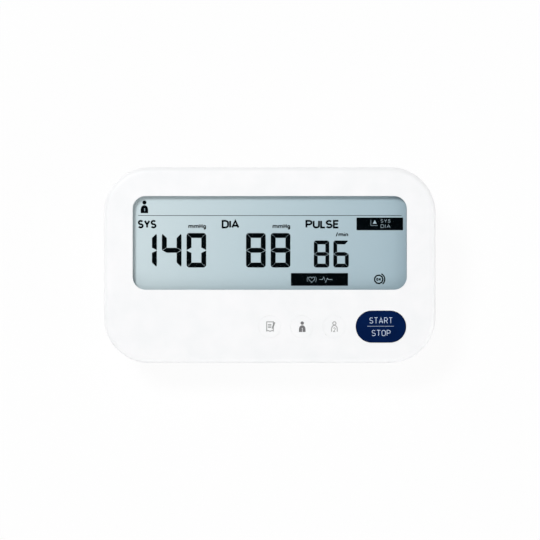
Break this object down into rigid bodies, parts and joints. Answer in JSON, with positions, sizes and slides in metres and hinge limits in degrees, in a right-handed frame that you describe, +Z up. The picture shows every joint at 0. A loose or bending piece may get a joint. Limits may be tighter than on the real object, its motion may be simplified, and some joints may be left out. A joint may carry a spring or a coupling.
{
  "type": "upper-arm blood pressure monitor",
  "caption": "Rounded desk-top blood pressure monitor with a tilted face, wide display, long start key, round keys, sliding battery cover and an air socket.",
  "frame": {"origin": "on the table, under the middle of the monitor's outline", "axes": "+Z up, +X to the reader's right, -Y towards the reader; the face is tilted 15 degrees up towards -Y"},
  "size_m": [0.18, 0.113, 0.0598],
  "materials": {
    "white_shell": "fine satin, moulded",
    "round_key_plastic": "fine satin, moulded",
    "navy_key_plastic": "satin, printed",
    "clear_lens": "polished, clear acrylic",
    "adhesive_tape": "matt foam tape",
    "display_glass": "polished",
    "polariser_film": "smooth film",
    "reflector_film": "satin silver film",
    "tray_plastic": "moulded",
    "conductive_rubber": "matt",
    "circuit_board": "solder resist",
    "dark_moulding": "moulded",
    "plunger_plastic": "moulded",
    "capacitor_can": "bright sleeve",
    "connector_plastic": "moulded",
    "sensor_housing": "moulded",
    "pump_plastic": "moulded",
    "motor_steel": "drawn, plated",
    "magnet_ferrite": "sintered",
    "armature_winding": "enamelled copper on steel",
    "shaft_steel": "ground",
    "soft_rubber": "matt",
    "silicone_tube": "satin, translucent",
    "manifold_plastic": "moulded",
    "valve_steel": "bent, plated",
    "valve_winding": "enamelled copper",
    "socket_plastic": "moulded",
    "pin_metal": "nickel plated",
    "contact_metal": "nickel plated spring steel",
    "cell_sleeve": "printed sleeve over steel",
    "screw_steel": "zinc plated",
    "foot_rubber": "matt"
  },
  "bodies": {
    "housing": {"upper_case": "white_shell", "lower_case": "white_shell", "display_lens": "clear_lens", "lens_tape": "adhesive_tape", "lcd_front_glass": "display_glass", "lcd_rear_glass": "display_glass", "lcd_polariser": "polariser_film", "lcd_reflector": "reflector_film", "lcd_frame": "tray_plastic", "zebra_connector": "conductive_rubber", "main_board": "circuit_board", "tact_switches": "dark_moulding", "microcontroller": "dark_moulding", "memory_chip": "dark_moulding", "voltage_regulator": "dark_moulding", "buzzer": "dark_moulding", "power_jack": "dark_moulding", "capacitors": "capacitor_can", "battery_connector": "connector_plastic", "pump_connector": "connector_plastic", "pressure_sensor": "sensor_housing", "pump_head": "pump_plastic", "pump_end_cap": "pump_plastic", "pump_motor_can": "motor_steel", "pump_magnets": "magnet_ferrite", "pump_diaphragm": "soft_rubber", "leak_valve": "soft_rubber", "pump_air_tube": "silicone_tube", "socket_air_tube": "silicone_tube", "valve_air_tube": "silicone_tube", "sensor_air_tube": "silicone_tube", "air_manifold": "manifold_plastic", "valve_frame": "valve_steel", "valve_coil": "valve_winding", "air_jack": "socket_plastic", "power_jack_pin": "pin_metal", "front_battery_contacts": "contact_metal", "rear_battery_contacts": "contact_metal", "battery_cell_1": "cell_sleeve", "battery_cell_2": "cell_sleeve", "battery_cell_3": "cell_sleeve", "battery_cell_4": "cell_sleeve", "case_screws": "screw_steel", "rubber_feet": "foot_rubber"},
    "start_stop_key": {"start_stop_button": "navy_key_plastic", "start_stop_switch_plunger": "plunger_plastic"},
    "memory_key": {"memory_button": "round_key_plastic", "memory_switch_plunger": "plunger_plastic"},
    "user_1_key": {"user_1_button": "round_key_plastic", "user_1_switch_plunger": "plunger_plastic"},
    "user_2_key": {"user_2_button": "round_key_plastic", "user_2_switch_plunger": "plunger_plastic"},
    "battery_cover": {"battery_cover": "white_shell"},
    "pump_rotor": {"pump_shaft": "shaft_steel", "pump_armature": "armature_winding", "pump_crank": "pump_plastic"},
    "valve_plunger": {"valve_plunger": "shaft_steel"}
  },
  "joints": [
    {"name": "start_stop_press", "type": "slide", "parent": "housing", "child": "start_stop_key", "axis": [0, 0.2588, -0.9659], "range_m": [0, 0.0008], "stiffness_N_per_m": 2000},
    {"name": "memory_press", "type": "slide", "parent": "housing", "child": "memory_key", "axis": [0, 0.2588, -0.9659], "range_m": [0, 0.0006], "stiffness_N_per_m": 2000},
    {"name": "user_1_press", "type": "slide", "parent": "housing", "child": "user_1_key", "axis": [0, 0.2588, -0.9659], "range_m": [0, 0.0006], "stiffness_N_per_m": 2000},
    {"name": "user_2_press", "type": "slide", "parent": "housing", "child": "user_2_key", "axis": [0, 0.2588, -0.9659], "range_m": [0, 0.0006], "stiffness_N_per_m": 2000},
    {"name": "battery_cover_slide", "type": "slide", "parent": "housing", "child": "battery_cover", "axis": [0, 1, 0], "range_m": [0, 0.06]},
    {"name": "pump_spin", "type": "hinge", "parent": "housing", "child": "pump_rotor", "pos_m": [-0.053, 0.03399, 0.018], "axis": [0, 1, 0], "continuous": true},
    {"name": "exhaust_valve_slide", "type": "slide", "parent": "housing", "child": "valve_plunger", "axis": [1, 0, 0], "range_m": [0, 0.001], "stiffness_N_per_m": 400}
  ]
}
